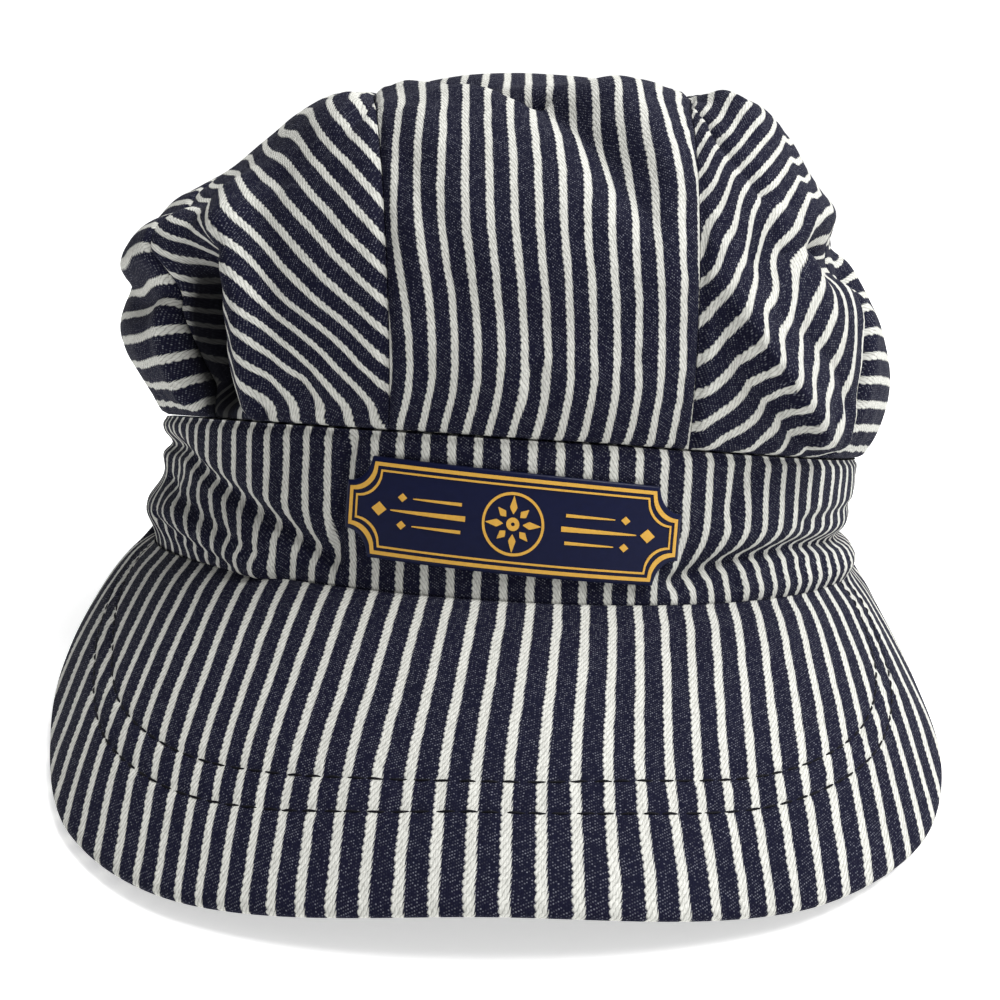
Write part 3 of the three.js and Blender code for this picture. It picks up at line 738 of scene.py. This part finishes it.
bandFine = {
    "turns": 720, "levels": 46, "innerLevels": 12, "edgeRound": 0.9, "edgeWidth": 0.9,
    "foldsHeld": (0.2, 0.15), "creasesHeld": (0.08, 0.05),
    "ripples": [(1 / 13, 2.2, 11, 0.3), (1 / 5, 4, 12, 0.14)], "behindBadge": 0.25,
    "badgeTurn": 1, "badgeHalf": 19, "badgeFade": 8,  # in degrees
}
bandFolds = [
    fold(-1.2, 5, 4, (-62, 0.72), (-40, 0.3)),
    fold(-1.4, 5, 5, (-95, 0.55), (-60, 0.5)),
    fold(-1.4, 4, 5, (25, 0.28), (70, 0.4), (100, 0.45)),
]
bandCreases = [
    fold(-2.3, 2.2, 1.4, (-100, 0.8), (-72, 0.8), (-56.5, 0.77), (-47.5, 0.62), (-38.5, 0.5),
         (-30, 0.36), (-22, 0.2)),
    fold(3.2, 4.5, 4.5, (-100, 0.38), (-72, 0.37), (-54, 0.34), (-42, 0.26), (-33, 0.15)),
    fold(-0.9, 1, 1, (-64, 0.56), (-50, 0.42), (-40, 0.3), (-32, 0.2)),
    fold(-0.8, 1, 1, (-60, 0.3), (-47, 0.2), (-38, 0.1)),
    fold(-1.6, 1.8, 0.8, (-19.2, 1), (-20.8, 0.8), (-21.4, 0.5), (-21.8, 0.3)),
    fold(-2.3, 2, 1, (22, 0.17), (32, 0.3), (44.5, 0.37), (68.5, 0.35), (95, 0.36)),
    fold(1.5, 3, 3, (34, 0.16), (50, 0.2), (70, 0.2), (92, 0.2)),
    fold(-1, 1.6, 2.4, (46, 0.56), (62, 0.62), (84, 0.66)),
    fold(-0.8, 2.4, 2.4, (30, 0.66), (33, 0.9)),
]
# Below the creases the cloth is dragged towards the middle, so the stripes lie closer there and
# the cloth is crimped with them.
bandDrag = {"length": 9.5, "at": 52, "spread": 22, "from": 0.55, "over": 0.35,
            "crimp": 0.3, "crimpStart": 1.3}


def makeBand():
    half = band["thickness"] / 2
    turns = (np.arange(bandFine["turns"]) + 0.5) * 360 / bandFine["turns"] - 180
    outer, inner = np.ones(bandFine["levels"]), -np.ones(bandFine["innerLevels"])
    inward = np.array([0.5, 0, -0.5])  # three points over each edge of the band
    offsets = np.concatenate([outer, inward, inner, -inward]) * half
    levels = np.concatenate([np.linspace(0, 1, len(outer)), np.ones(3),
                             np.linspace(1, 0, len(inner)), np.zeros(3)])
    turn, level = np.meshgrid(turns, levels, indexing="ij")
    offset = np.broadcast_to(offsets, turn.shape)
    arc = turn * band["perDegree"]
    scale = (band["perDegree"], band["height"])
    held = within(level, *bandFine["foldsHeld"])
    creasesHeld = within(level, *bandFine["creasesHeld"])
    folded = foldHeight(bandFolds, scale, turn, level) * held
    folded = folded + foldHeight(bandCreases, scale, turn, level) * creasesHeld
    swept = np.exp(-((np.abs(turn) - bandDrag["at"]) / bandDrag["spread"])**2)
    swept = swept * smooth((bandDrag["from"] - level) / bandDrag["over"])
    dragged = arc + np.sign(turn) * bandDrag["length"] * swept
    crimp = np.sin(dragged * 2 * math.pi / denim["pitch"] + bandDrag["crimpStart"])
    ripple = ripples(bandFine["ripples"], arc, level) + crimp * bandDrag["crimp"] * swept
    toBadge = np.abs(turn - bandFine["badgeTurn"]) - bandFine["badgeHalf"]
    calm = bandFine["behindBadge"]
    ripple = ripple * (calm + (1 - calm) * smooth(toBadge / bandFine["badgeFade"]))
    toEdge = np.minimum(level, 1 - level) * band["height"]
    edge = bandFine["edgeRound"] * np.exp(-((toEdge / bandFine["edgeWidth"]) ** 2))
    edge = edge * (offset > half / 2)  # on the outer face only
    p = rimPoint(turn) * (1 - level[..., None]) + bandTopPoint(turn) * level[..., None]
    p = p + bandOutward(turn) * (offset + folded + ripple * held - edge)[..., None]
    cloth = np.stack([dragged, level * band["height"], 0 * arc], -1)
    rows, columns = turn.shape
    first = np.arange(rows) * columns
    following = np.roll(first, -1)
    closing = np.stack([first + columns - 1, following + columns - 1, following, first], -1)
    faces = np.concatenate([gridFaces(rows, columns, 0, False, wrap=True), closing])
    piece = addMesh("band", p.reshape(-1, 3), faces, bandDenim, {"cloth": cloth.reshape(-1, 3)})
    return finishPiece(piece, "band_denim", "band")


makeBand()
print("band made")


# The peak

peak = {"thickness": 3.2, "leftEnd": -86, "rightEnd": 77, "rootGap": 0.3, "rootRise": 0.3,
        "bulge": 2.5, "columns": 320, "rows": 100, "nose": 7, "noseReach": 1.2,
        "edgeThin": 0.35, "edgeFade": 4, "edgeLength": 330,
        "ripples": [(1 / 16, 1 / 15, 31, 0.22), (1 / 6, 1 / 7, 32, 0.09)],
        "ripplesFromEdge": 5, "ripplesFromBand": 0.12}
peakEdge = {
    "station": [-1, -0.88, -0.75, -0.6, -0.45, -0.28, 0, 0.28, 0.45, 0.6, 0.75, 0.88, 1],
    "x": [-81.8, -85.4, -87, -81.2, -66.6, -42.5, 0, 41, 64.8, 77.6, 82, 82, 81.5],
    "y": [-6, -29, -50, -78, -111.5, -132, -140, -132.5, -113.5, -88, -58, -34, -16],
    "z": [19, 13, 5.2, 1.6, 1.4, 3, 7.4, 3.4, 1.4, 1.6, 4.6, 9.5, 14.5],
}


def peakPoint(across, out):
    station = 2 * across - 1
    turn = peak["leftEnd"] + (peak["rightEnd"] - peak["leftEnd"]) * across
    root = rimPoint(turn) + bandOutward(turn) * (band["thickness"] / 2 + peak["rootGap"])
    root[..., 2] += peak["rootRise"]
    edge = np.stack([valueAt(peakEdge, column, station) for column in "xyz"], -1)
    p = root + (edge - root) * out[..., None]
    p[..., 2] += peak["bulge"] * 4 * out * (1 - out) * (1 - station**2)
    return p


def peakReach(across):
    # how far the peak's edge is from its root
    root = peakPoint(across, 0 * across)
    return np.linalg.norm(peakPoint(across, 0 * across + 1) - root, axis=-1)


# How many stripes lie between the peak's middle and each point: "across" is the station, and
# the rows run from the band to the free edge.
peakCloth = {
    "across": [-0.95, -0.75, -0.56, -0.375, -0.19, 0, 0.19, 0.375, 0.56, 0.75, 0.95],
    "rows": [[0, -20.9, -19.4, -16.3, -12, -7.3, -2.4, 2.3, 6.7, 10.7, 14.9, 18.2],
             [0.333, -21.5, -20.1, -17.2, -12.5, -7, -1.6, 3.5, 8.5, 12.8, 16.4, 19.6],
             [0.667, -22.2, -20.8, -18.4, -13.1, -6.6, -0.8, 4.7, 10.3, 15, 17.8, 20.6],
             [1, -22.2, -21.7, -19.7, -14.4, -6.7, -0.3, 5.5, 12.1, 17.3, 18.9, 21]],
}
# The two rows of stitches: how far in from the free edge they run, their threads, and the
# groove and the puckers that they pull into the cloth.
peakStitches = {
    "station": [-0.86, -0.3, 0, 0.2, 0.45, 0.86],
    "upper": [20, 20.4, 18.6, 19.8, 18.7, 18.5],
    "lower": [14.8, 14.5, 13.8, 14.5, 14.4, 14.2],
    "from": 0.07, "to": 0.93, "steps": 1600,
    "length": 3.0, "spacing": 3.3, "uneven": 0.25, "unevenRate": 2.3, "radius": 0.19,
    "endRadius": 0.55, "sunk": 0.1, "dip": 0.3, "bow": (0.06, 0.94), "sides": 8, "rings": 7,
    "groove": 0.25, "grooveWidth": 0.8, "pucker": 0.12, "puckerWidth": 4.5,
    "fadesAt": 0.92, "fadesOver": 0.06,
}


def peakSheet(across, out):
    # points of the peak's middle sheet, the directions square to it and the distance to its edge
    reach = peakReach(across)
    out = out * (1 - peak["noseReach"] / reach)
    middle = peakPoint(across, out)
    normals = -slopeNormal(peakPoint, across, out, 1, 1)
    fromRoot = np.linalg.norm(middle - peakPoint(across, 0 * out), axis=-1)
    free = smooth(fromRoot / (2 * peak["thickness"]))[..., None]
    return middle, unit(up * (1 - free) + normals * free), reach * (1 - out)


def peakTop(across, out):
    # the top cloth, with a shallow groove along each row of stitches and small puckers between
    # the rows, the underside below it and the directions square to both
    middle, normals, toEdge = peakSheet(across, out)
    station = 2 * across - 1
    upper = valueAt(peakStitches, "upper", station)
    lower = valueAt(peakStitches, "lower", station)
    inRows = smooth((peakStitches["fadesAt"] - np.abs(station)) / peakStitches["fadesOver"])
    groove = sum(np.exp(-((toEdge - row) / peakStitches["grooveWidth"])**2)
                 for row in (upper, lower))
    along = across * peak["edgeLength"]
    pucker = np.sin(along * 2 * math.pi / peakStitches["spacing"])
    pucker = pucker * np.exp(-((toEdge - (upper + lower) / 2) / peakStitches["puckerWidth"])**2)
    sewn = (peakStitches["pucker"] * pucker - peakStitches["groove"] * groove) * inRows
    waves = ripples(peak["ripples"], along, toEdge) * smooth(toEdge / peak["ripplesFromEdge"])
    thin = peak["edgeThin"] * np.exp(-toEdge / peak["edgeFade"])
    half = peak["thickness"] / 2 * (1 - thin)
    lift = half + waves * smooth(out / peak["ripplesFromBand"]) + sewn
    return middle + normals * lift[..., None], middle - normals * half[..., None], normals


def makePeak():
    across, out = np.meshgrid(np.linspace(0, 1, peak["columns"]),
                              np.linspace(0, 1, peak["rows"]), indexing="ij")
    middle = peakSheet(across, out)[0]
    top, under, normals = peakTop(across, out)
    # the rounded nose between the top and the underside at the free edge
    angle = np.linspace(0, math.pi, peak["nose"] + 2)[1:-1, None]
    half = peak["thickness"] / 2 * (1 - peak["edgeThin"])
    outward = unit(middle[:, -1] - middle[:, -2])
    nose = (middle[:, -1, None] + normals[:, -1, None] * np.cos(angle) * half
            + outward[:, None] * np.sin(angle) * peak["noseReach"])
    ring = np.concatenate([top, nose, under[:, ::-1]], axis=1)
    stripes = surfaceThrough(peakCloth, 2 * across - 1, out) * denim["pitch"]
    onNose = np.repeat(stripes[:, -1:], peak["nose"], axis=1)
    stripes = np.concatenate([stripes, onNose, stripes[:, ::-1]], axis=1)
    along = lengths(ring, 1)
    cloth = np.stack([stripes, along, 0 * along], -1)
    rows, columns = ring.shape[:2]
    first, last = np.arange(rows) * columns, np.arange(rows) * columns + columns - 1
    closing = np.stack([first[:-1], first[1:], last[1:], last[:-1]], -1)
    faces = [*gridFaces(rows, columns, 0, True), *closing]
    for line, turned in ((0, True), (rows - 1, False)):
        ids = line * columns + np.arange(columns)
        pairs = columns // 2
        a, b = ids[:pairs], ids[::-1][:pairs]
        cap = [*np.stack([a[:-1], a[1:], b[1:], b[:-1]], -1), ids[pairs - 1:pairs + 2]]
        faces += [face[::-1] if turned else face for face in cap]
    piece = addMesh("peak", ring.reshape(-1, 3), faces, peakDenim, {"cloth": cloth.reshape(-1, 3)})
    return finishPiece(piece, "peak_denim", "peak")


def onLine(run, values, at):
    # the values of a line's points at other lengths along it
    return np.stack([np.interp(at, run, values[:, c]) for c in range(3)], -1)


def makeStitches():
    # each stitch is a short thread that dips into the cloth at both ends
    points, faces = [], []
    sides, rings = peakStitches["sides"], peakStitches["rings"]
    turn = np.arange(sides) * 2 * math.pi / sides
    bow = np.sin(np.linspace(*peakStitches["bow"], rings) * math.pi)
    end = peakStitches["endRadius"]
    width = (peakStitches["radius"] * (end + (1 - end) * bow))[:, None]
    rise = (bow - 1) * peakStitches["dip"] + peakStitches["radius"] - peakStitches["sunk"]
    i, j = np.meshgrid(np.arange(rings - 1), np.arange(sides), indexing="ij")
    a, b = i * sides + j, i * sides + (j + 1) % sides
    quads = np.stack([a, a + sides, b + sides, b], -1).reshape(-1, 4)
    caps = [np.arange(sides), (rings - 1) * sides + np.arange(sides)[::-1]]
    across = np.linspace(peakStitches["from"], peakStitches["to"], peakStitches["steps"])
    reach = peakReach(across)
    for row in ("upper", "lower"):
        out = 1 - valueAt(peakStitches, row, 2 * across - 1) / reach
        line, _, normals = peakTop(across, out / (1 - peak["noseReach"] / reach))
        run = lengths(line[None], 1)[0]
        for k in range(int(run[-1] / peakStitches["spacing"])):
            uneven = peakStitches["uneven"] * math.sin(k * peakStitches["unevenRate"])
            start = k * peakStitches["spacing"] + uneven
            s = start + np.linspace(0, peakStitches["length"], rings)
            centre = onLine(run, line, s)
            normal = unit(onLine(run, normals, s))
            side = unit(np.cross(unit(np.gradient(centre, axis=0)), normal))
            centre = centre + normal * rise[:, None]
            ring = (centre[:, None] + side[:, None] * (np.cos(turn) * width)[..., None]
                    + normal[:, None] * (np.sin(turn) * width)[..., None])
            first = len(points) * rings * sides
            points.append(ring.reshape(-1, 3))
            faces += [face + first for face in (*quads, *caps)]
    piece = addMesh("peak_stitches", np.concatenate(points), faces, blackThread)
    return finishPiece(piece, "peak_denim")


makePeak()
makeStitches()
print("peak made")


# The badge

badge = {"width": 60, "height": 17, "scoop": 4.5, "thickness": 0.9, "clearance": 0.45,
         "tilt": 2.5, "angle": 1, "level": 0.53, "bevel": 0.35, "bevelWidth": 0.35,
         "columns": 181, "rows": 61, "relief": 0.13, "goldRoot": 0.15,
         "scoopSteps": 24, "borderSteps": 61}
# The gold lines and shapes, in millimetres from the badge's middle.
badgeLines = [{"inset": 0.75, "width": 0.6}, {"inset": 1.95, "width": 0.32}]
badgeRing = {"radius": 5.3, "width": 0.45, "hub": 1.1, "hubHole": 0.3, "steps": 72,
             "rays": 8, "rayFrom": 1.7, "rayTo": 4.7, "rayWidth": 0.62, "shortRay": 0.78,
             "raySteps": 9, "widestAt": 0.35, "tip": 0.03}
badgeBars = [{"from": 8.2, "to": 21.5, "across": 0.0, "thick": 0.75},
             {"from": 8.9, "to": 17.5, "across": 2.3, "thick": 0.42},
             {"from": 8.9, "to": 17.5, "across": -2.3, "thick": 0.42}]
badgeTaper = {"power": 0.6, "tip": 0.06, "steps": 25}
badgeLozenges = [{"at": 23.6, "across": 0.0, "long": 1.35, "high": 1.15},
                 {"at": 19.4, "across": 2.3, "long": 0.8, "high": 0.7},
                 {"at": 19.4, "across": -2.3, "long": 0.8, "high": 0.7}]


def badgePlace(x, y, lift):
    tilt = math.radians(badge["tilt"])
    turned = x * math.cos(tilt) + y * math.sin(tilt)
    raised = y * math.cos(tilt) - x * math.sin(tilt)
    turn = badge["angle"] + turned / band["perDegree"]
    level = (badge["level"] + raised / band["height"])[..., None]
    p = rimPoint(turn) * (1 - level) + bandTopPoint(turn) * level
    return p + bandOutward(turn) * (band["thickness"] / 2 + badge["clearance"] + lift)[..., None]


def badgeHalfHeight(x, inset=0.0):
    scoop = badge["scoop"]
    toEnd = np.clip(badge["width"] / 2 - inset - np.abs(x), 0, scoop)
    return badge["height"] / 2 - inset - np.sqrt(np.maximum(scoop**2 - toEnd**2, 0))


def makeBadge():
    half = badge["width"] / 2
    x, share = np.meshgrid(np.linspace(-half, half, badge["columns"]),
                           np.linspace(-1, 1, badge["rows"]), indexing="ij")
    high = badgeHalfHeight(x)
    y = share * high
    toBorder = np.minimum(half - np.abs(x), high - np.abs(y))
    bevel = badge["bevel"] * np.exp(-(toBorder / badge["bevelWidth"])**2)
    middle = badgePlace(x, y, np.full(x.shape, badge["thickness"] / 2))
    normals = bandOutward(badge["angle"] + x / band["perDegree"])
    piece = wall("badge", middle, normals, badge["thickness"] - bevel, False, badgeVinyl, {})
    return finishPiece(piece, "badge_print", "badge")


def badgeLoop(inset):
    # the badge's outline, drawn in by a distance, as one closed loop
    half = badge["width"] / 2 - inset
    flat = half - badge["scoop"]
    x = np.concatenate([np.linspace(-half, -flat, badge["scoopSteps"])[:-1],
                        np.linspace(-flat, flat, badge["borderSteps"]),
                        np.linspace(flat, half, badge["scoopSteps"])[1:]])
    y = badgeHalfHeight(x, inset)
    return np.stack([np.concatenate([x, x[::-1]]), np.concatenate([-y, y[::-1]])], -1)


def goldStrip(parts, lineA, lineB, closed):
    # a thin raised strip between two lines of points on the badge
    low, high = badge["thickness"] - badge["goldRoot"], badge["thickness"] + badge["relief"]
    corners = [(lineA, high), (lineB, high), (lineB, low), (lineA, low)]
    count = len(lineA)
    grid = np.stack([badgePlace(line[:, 0], line[:, 1], np.full(count, lift))
                     for line, lift in corners], 1)
    i, j = np.meshgrid(np.arange(count if closed else count - 1), np.arange(4), indexing="ij")
    here, following, beside = i * 4, (i + 1) % count * 4, (j + 1) % 4
    faces = np.stack([here + j, following + j, following + beside, here + beside], -1)
    faces = faces.reshape(-1, 4)
    if not closed:
        faces = np.concatenate([faces, [np.arange(4), 4 * count - 1 - np.arange(4)]])
    run, side = lineA[1] - lineA[0], lineB[0] - lineA[0]
    if run[0] * side[1] - run[1] * side[0] < 0:
        faces = faces[:, ::-1]
    first = sum(len(points) for points, _ in parts)
    parts.append((grid.reshape(-1, 3), faces + first))


def makeBadgeGold():
    parts = []
    for line in badgeLines:
        goldStrip(parts, badgeLoop(line["inset"]), badgeLoop(line["inset"] + line["width"]), True)
    turn = np.linspace(0, 2 * math.pi, badgeRing["steps"], endpoint=False)
    circle = np.stack([np.cos(turn), np.sin(turn)], -1)
    for outer, inner in ((badgeRing["radius"], badgeRing["radius"] - badgeRing["width"]),
                         (badgeRing["hub"], badgeRing["hub"] * badgeRing["hubHole"])):
        goldStrip(parts, circle * outer, circle * inner, True)
    t = np.linspace(0, 1, badgeRing["raySteps"])[:, None]
    wide = np.minimum(t / badgeRing["widestAt"], (1 - t) / (1 - badgeRing["widestAt"]))
    wide = badgeRing["rayWidth"] * wide + badgeRing["tip"]
    for k in range(badgeRing["rays"]):
        angle = 2 * math.pi * k / badgeRing["rays"]
        ahead = np.array([math.cos(angle), math.sin(angle)])
        aside = np.array([-ahead[1], ahead[0]])
        reach = badgeRing["rayTo"] * (1 if k % 2 == 0 else badgeRing["shortRay"])
        spine = ahead * (badgeRing["rayFrom"] + (reach - badgeRing["rayFrom"]) * t)
        goldStrip(parts, spine - aside * wide, spine + aside * wide, False)
    for mirror in (-1, 1):
        for bar in badgeBars:
            x = np.linspace(bar["from"], bar["to"], badgeTaper["steps"])
            share = 1 - (x - bar["from"]) / (bar["to"] - bar["from"])
            wide = bar["thick"] * share**badgeTaper["power"] / 2 + badgeTaper["tip"]
            x, y = mirror * x, bar["across"]
            goldStrip(parts, np.stack([x, y - wide], -1), np.stack([x, y + wide], -1), False)
        for lozenge in badgeLozenges:
            x = np.linspace(-1, 1, badgeRing["raySteps"])
            wide = lozenge["high"] * (1 - np.abs(x)) + badgeRing["tip"]
            x, y = mirror * (lozenge["at"] + x * lozenge["long"]), lozenge["across"]
            goldStrip(parts, np.stack([x, y - wide], -1), np.stack([x, y + wide], -1), False)
    points, faces = (np.concatenate(made) for made in zip(*parts))
    piece = addMesh("badge_gold", points, faces, badgeGold)
    piece.data.shade_flat()
    return finishPiece(piece, "badge_print")


makeBadge()
makeBadgeGold()
print("badge made")


# Floor, light and camera

paper = {"size": 6, "tone": 0.95, "glow": 0.5}  # the paper glows a little, as on a light table
lights = [
    {"name": "key", "place": (0.55, -0.2, 1.0), "size": 0.5, "power": 12.5},
    {"name": "top", "place": (0.25, 0.2, 1.1), "size": 0.6, "power": 5.0},
]
lightsAim = (0, 0, 0.05)
# The sky is white behind the cap, and falls off towards the left, the ground and the front. Each
# row says where the change starts and ends, and how bright the sky is at both.
sky = {"strength": 1.12, "behind": (0.6, 0.85, 0.0, 1.0), "sideways": (-0.85, 0.5, 0.14, 1.0),
       "upwards": (-0.2, 0.8, 0.5, 1.0), "forwards": (-0.9, 0.2, 0.5, 1.0)}
# focal and picture are in pixels, back and height in millimetres, and the angles in degrees
view = {"focal": 1200, "picture": 1000, "back": 277, "height": 104, "elevation": 16, "roll": 0.8}


def makeStage():
    size, tone = paper["size"], paper["tone"]
    mesh = bpy.data.meshes.new("floor")
    corners = [(-size, -size, 0), (size, -size, 0), (size, size, 0), (-size, size, 0)]
    mesh.from_pydata(corners, [], [(0, 1, 2, 3)])
    floor = bpy.data.objects.new("floor", mesh)
    bpy.context.collection.objects.link(floor)
    material = bpy.data.materials.new("floorPaper")
    node = nodeKit(material)[0]
    shader = node("ShaderNodeBsdfPrincipled",
                  {"Base Color": (tone, tone, tone, 1), "Roughness": 1.0,
                   "Emission Color": (1, 1, 1, 1), "Emission Strength": paper["glow"]})
    node("ShaderNodeOutputMaterial", {0: shader.outputs[0]})
    mesh.materials.append(material)


def makeLights():
    studio = bpy.data.worlds.new("studio")
    node, calc, ramp, _, _ = nodeKit(studio)
    place = node("ShaderNodeTexCoord")
    split = node("ShaderNodeSeparateXYZ", {0: place.outputs["Generated"]})
    x, y, z = split.outputs
    around = calc("MULTIPLY", ramp(x, *sky["sideways"]), ramp(z, *sky["upwards"]))
    around = calc("MULTIPLY", around, ramp(y, *sky["forwards"]))
    strength = calc("MAXIMUM", ramp(y, *sky["behind"]), around)
    strength = calc("MULTIPLY", strength, sky["strength"])
    light = node("ShaderNodeBackground", {"Color": (1, 1, 1, 1), "Strength": strength})
    node("ShaderNodeOutputWorld", {0: light.outputs[0]})
    bpy.context.scene.world = studio
    for row in lights:
        lamp = bpy.data.lights.new(row["name"], "AREA")
        lamp.size = row["size"]
        lamp.energy = row["power"]
        holder = bpy.data.objects.new(row["name"], lamp)
        holder.location = row["place"]
        aim = Vector(lightsAim) - Vector(row["place"])
        holder.rotation_euler = aim.to_track_quat("-Z", "Y").to_euler()
        bpy.context.collection.objects.link(holder)


def makeCamera():
    camera = bpy.data.cameras.new("camera")
    camera.sensor_width = 36
    camera.lens = view["focal"] / view["picture"] * camera.sensor_width
    camera.clip_start = 0.01
    holder = bpy.data.objects.new("camera", camera)
    place = (np.array([0, -view["back"], view["height"]]) + toMiddle) * mm
    tip = Matrix.Rotation(math.radians(90 - view["elevation"]), 4, "X")
    roll = Matrix.Rotation(math.radians(view["roll"]), 4, "Z")
    holder.matrix_world = Matrix.Translation(place) @ tip @ roll
    bpy.context.collection.objects.link(holder)
    bpy.context.scene.camera = holder


makeStage()
makeLights()
makeCamera()
bpy.context.scene.view_settings.view_transform = "Standard"
print("stage made")
